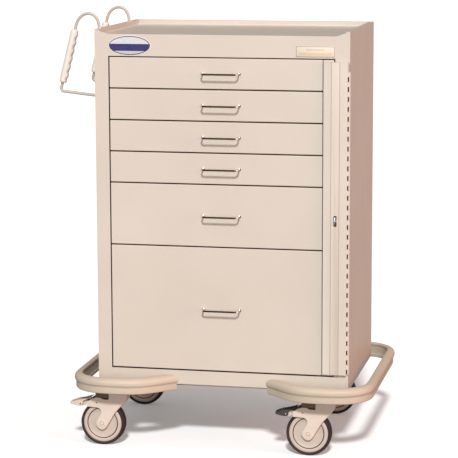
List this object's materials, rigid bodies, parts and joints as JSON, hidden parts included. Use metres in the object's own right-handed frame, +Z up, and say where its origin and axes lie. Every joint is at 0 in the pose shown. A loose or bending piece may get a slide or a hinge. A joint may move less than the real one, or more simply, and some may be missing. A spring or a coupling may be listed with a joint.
{
  "type": "crash cart",
  "caption": "Beige steel emergency cart with stacked flush drawers, hinged lock bar, side push handles and a bumper base on swivel casters.",
  "frame": {"origin": "on the floor, midway between the overall ends in X and Y (the push handles on the left side are part of the overall width)", "axes": "+Z up, -Y the way the drawers open, +X to the user's right as they face the drawers"},
  "size_m": [0.8472, 0.601, 1.1515],
  "materials": {
    "cabinet_steel": "smooth satin beige powder coat on sheet steel",
    "drawer_steel": "smooth satin beige powder coat",
    "pan_steel": "satin light grey-beige paint",
    "runner_zinc": "bright zinc plate",
    "pull_metal": "dark bright plate",
    "bar_steel": "smooth satin beige powder coat",
    "pin_steel": "plain steel",
    "bumper_plastic": "moulded beige plastic, softly satin",
    "rod_steel": "beige powder coat on round rod",
    "grip_plastic": "soft cream vinyl",
    "caster_plastic": "moulded beige nylon",
    "hub_plastic": "moulded beige nylon",
    "tyre_rubber": "dark non-marking rubber",
    "pedal_black": "ribbed black plastic",
    "label_card": "printed cream plate"
  },
  "bodies": {
    "cabinet": {"face_frame": "cabinet_steel", "side_left": "cabinet_steel", "side_right": "cabinet_steel", "back_panel": "cabinet_steel", "top_tray": "cabinet_steel", "bottom_pan": "pan_steel", "chassis": "cabinet_steel", "runner_rack_left": "runner_zinc", "bumper_left": "bumper_plastic", "runner_rack_right": "runner_zinc", "bumper_right": "bumper_plastic", "push_rod_front": "rod_steel", "grip_front": "grip_plastic", "push_rod_rear": "rod_steel", "grip_rear": "grip_plastic", "hinge_leaf": "bar_steel", "hinge_pin": "pin_steel", "seal_staple": "runner_zinc", "label_plate": "label_card", "caster_fl_mount": "runner_zinc", "caster_fr_mount": "runner_zinc", "caster_rl_mount": "runner_zinc", "caster_rr_mount": "runner_zinc"},
    "drawer_1": {"drawer_1_front": "drawer_steel", "drawer_1_pan": "pan_steel", "drawer_1_pull": "pull_metal"},
    "drawer_2": {"drawer_2_front": "drawer_steel", "drawer_2_pan": "pan_steel", "drawer_2_pull": "pull_metal"},
    "drawer_3": {"drawer_3_front": "drawer_steel", "drawer_3_pan": "pan_steel", "drawer_3_pull": "pull_metal"},
    "drawer_4": {"drawer_4_front": "drawer_steel", "drawer_4_pan": "pan_steel", "drawer_4_pull": "pull_metal"},
    "drawer_5": {"drawer_5_front": "drawer_steel", "drawer_5_pan": "pan_steel", "drawer_5_pull": "pull_metal"},
    "drawer_6": {"drawer_6_front": "drawer_steel", "drawer_6_pan": "pan_steel", "drawer_6_pull": "pull_metal"},
    "lock_bar": {"lock_bar": "bar_steel"},
    "caster_fl": {"caster_fl_fork": "caster_plastic", "caster_fl_axle": "runner_zinc"},
    "wheel_fl": {"caster_fl_tyre": "tyre_rubber", "caster_fl_hub": "hub_plastic"},
    "pedal_fl": {"pedal_fl": "caster_plastic"},
    "caster_fr": {"caster_fr_fork": "caster_plastic", "caster_fr_axle": "runner_zinc"},
    "wheel_fr": {"caster_fr_tyre": "tyre_rubber", "caster_fr_hub": "hub_plastic"},
    "pedal_fr": {"pedal_fr": "pedal_black"},
    "caster_rl": {"caster_rl_fork": "caster_plastic", "caster_rl_axle": "runner_zinc"},
    "wheel_rl": {"caster_rl_tyre": "tyre_rubber", "caster_rl_hub": "hub_plastic"},
    "caster_rr": {"caster_rr_fork": "caster_plastic", "caster_rr_axle": "runner_zinc"},
    "wheel_rr": {"caster_rr_tyre": "tyre_rubber", "caster_rr_hub": "hub_plastic"}
  },
  "joints": [
    {"name": "drawer_1_slide", "type": "slide", "parent": "cabinet", "child": "drawer_1", "axis": [0, -1, 0], "range_m": [0, 0.35]},
    {"name": "drawer_2_slide", "type": "slide", "parent": "cabinet", "child": "drawer_2", "axis": [0, -1, 0], "range_m": [0, 0.35]},
    {"name": "drawer_3_slide", "type": "slide", "parent": "cabinet", "child": "drawer_3", "axis": [0, -1, 0], "range_m": [0, 0.35]},
    {"name": "drawer_4_slide", "type": "slide", "parent": "cabinet", "child": "drawer_4", "axis": [0, -1, 0], "range_m": [0, 0.35]},
    {"name": "drawer_5_slide", "type": "slide", "parent": "cabinet", "child": "drawer_5", "axis": [0, -1, 0], "range_m": [0, 0.35]},
    {"name": "drawer_6_slide", "type": "slide", "parent": "cabinet", "child": "drawer_6", "axis": [0, -1, 0], "range_m": [0, 0.35]},
    {"name": "lock_bar_hinge", "type": "hinge", "parent": "cabinet", "child": "lock_bar", "pos_m": [0.35492, -0.2206, 0.623], "axis": [0, 0, 1], "range_deg": [0, 175]},
    {"name": "caster_fl_swivel", "type": "hinge", "parent": "cabinet", "child": "caster_fl", "pos_m": [-0.26038, -0.22, 0.14], "axis": [0, 0, 1], "continuous": true},
    {"name": "wheel_fl_spin", "type": "hinge", "parent": "caster_fl", "child": "wheel_fl", "pos_m": [-0.30438, -0.22, 0.06], "axis": [0, 1, 0], "continuous": true},
    {"name": "pedal_fl_press", "type": "hinge", "parent": "caster_fl", "child": "pedal_fl", "pos_m": [-0.36498, -0.22, 0.1097], "axis": [0, -1, 0], "range_deg": [0, 12]},
    {"name": "caster_fr_swivel", "type": "hinge", "parent": "cabinet", "child": "caster_fr", "pos_m": [0.29762, -0.22, 0.14], "axis": [0, 0, 1], "continuous": true},
    {"name": "wheel_fr_spin", "type": "hinge", "parent": "caster_fr", "child": "wheel_fr", "pos_m": [0.25362, -0.22, 0.06], "axis": [0, 1, 0], "continuous": true},
    {"name": "pedal_fr_press", "type": "hinge", "parent": "caster_fr", "child": "pedal_fr", "pos_m": [0.19302, -0.22, 0.1097], "axis": [0, -1, 0], "range_deg": [0, 12]},
    {"name": "caster_rl_swivel", "type": "hinge", "parent": "cabinet", "child": "caster_rl", "pos_m": [-0.26038, 0.22, 0.14], "axis": [0, 0, 1], "continuous": true},
    {"name": "wheel_rl_spin", "type": "hinge", "parent": "caster_rl", "child": "wheel_rl", "pos_m": [-0.30438, 0.22, 0.06], "axis": [0, 1, 0], "continuous": true},
    {"name": "caster_rr_swivel", "type": "hinge", "parent": "cabinet", "child": "caster_rr", "pos_m": [0.29762, 0.22, 0.14], "axis": [0, 0, 1], "continuous": true},
    {"name": "wheel_rr_spin", "type": "hinge", "parent": "caster_rr", "child": "wheel_rr", "pos_m": [0.25362, 0.22, 0.06], "axis": [0, 1, 0], "continuous": true}
  ]
}
